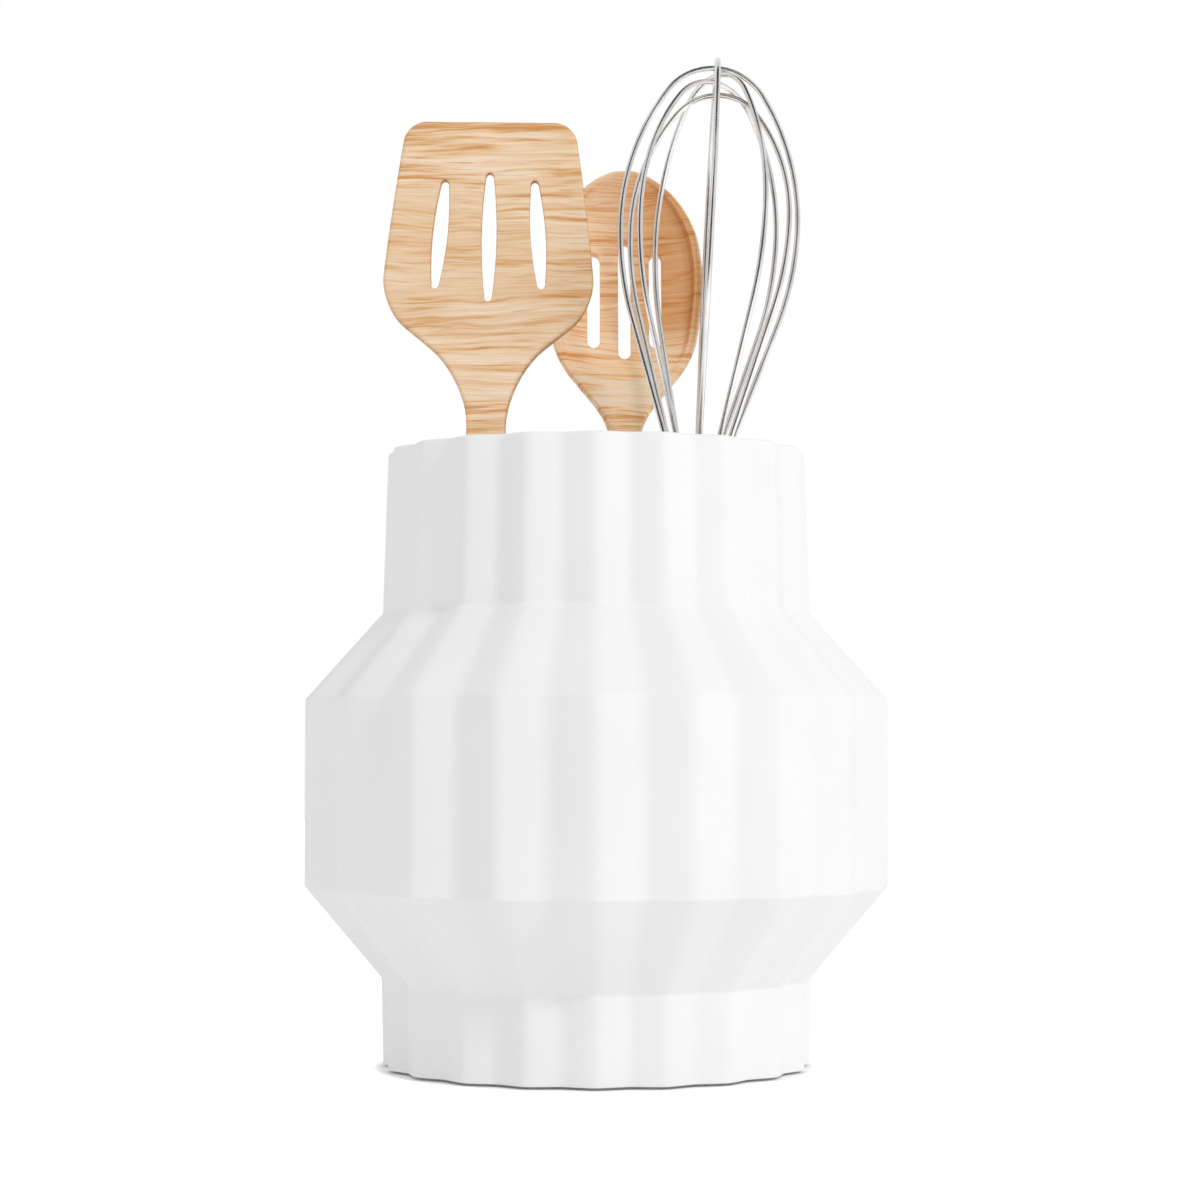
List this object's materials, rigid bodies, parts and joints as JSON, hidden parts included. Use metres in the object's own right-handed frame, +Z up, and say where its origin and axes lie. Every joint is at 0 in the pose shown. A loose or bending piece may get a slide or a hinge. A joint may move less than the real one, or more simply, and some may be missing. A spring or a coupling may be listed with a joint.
{
  "type": "utensil crock",
  "caption": "Fluted white ceramic utensil crock with a wide belly, holding a slotted wooden spatula, a slotted wooden spoon and a steel balloon whisk that lift out.",
  "frame": {"origin": "centre of the crock's foot, on the surface it stands on", "axes": "+Z up along the crock's axis, -Y towards the viewer of the picture, +X to the viewer's right"},
  "size_m": [0.18, 0.18, 0.3223],
  "materials": {
    "crock_ceramic": "matte white",
    "spatula_wood": "pale wood with brown streaks, satin",
    "spoon_wood": "pale wood with brown streaks, satin",
    "whisk_wire_steel": "polished stainless steel",
    "whisk_handle_steel": "satin stainless steel"
  },
  "bodies": {
    "crock": {"crock_body": "crock_ceramic"},
    "spatula": {"wooden_spatula": "spatula_wood"},
    "spoon": {"wooden_spoon": "spoon_wood"},
    "whisk": {"whisk_wire_1": "whisk_wire_steel", "whisk_wire_2": "whisk_wire_steel", "whisk_wire_3": "whisk_wire_steel", "whisk_wire_4": "whisk_wire_steel", "whisk_wire_5": "whisk_wire_steel", "whisk_wire_plug": "whisk_handle_steel", "whisk_handle": "whisk_handle_steel", "whisk_end_cap": "whisk_handle_steel", "whisk_hang_loop": "whisk_wire_steel"}
  },
  "joints": [
    {"name": "spatula_lift", "type": "slide", "parent": "crock", "child": "spatula", "axis": [0.0102, 0.0851, 0.9963], "range_m": [0, 0.2]},
    {"name": "spoon_lift", "type": "slide", "parent": "crock", "child": "spoon", "axis": [-0.001, 0.2399, 0.9708], "range_m": [0, 0.2]},
    {"name": "whisk_lift", "type": "slide", "parent": "crock", "child": "whisk", "axis": [0.0498, 0.0802, 0.9955], "range_m": [0, 0.2]}
  ]
}
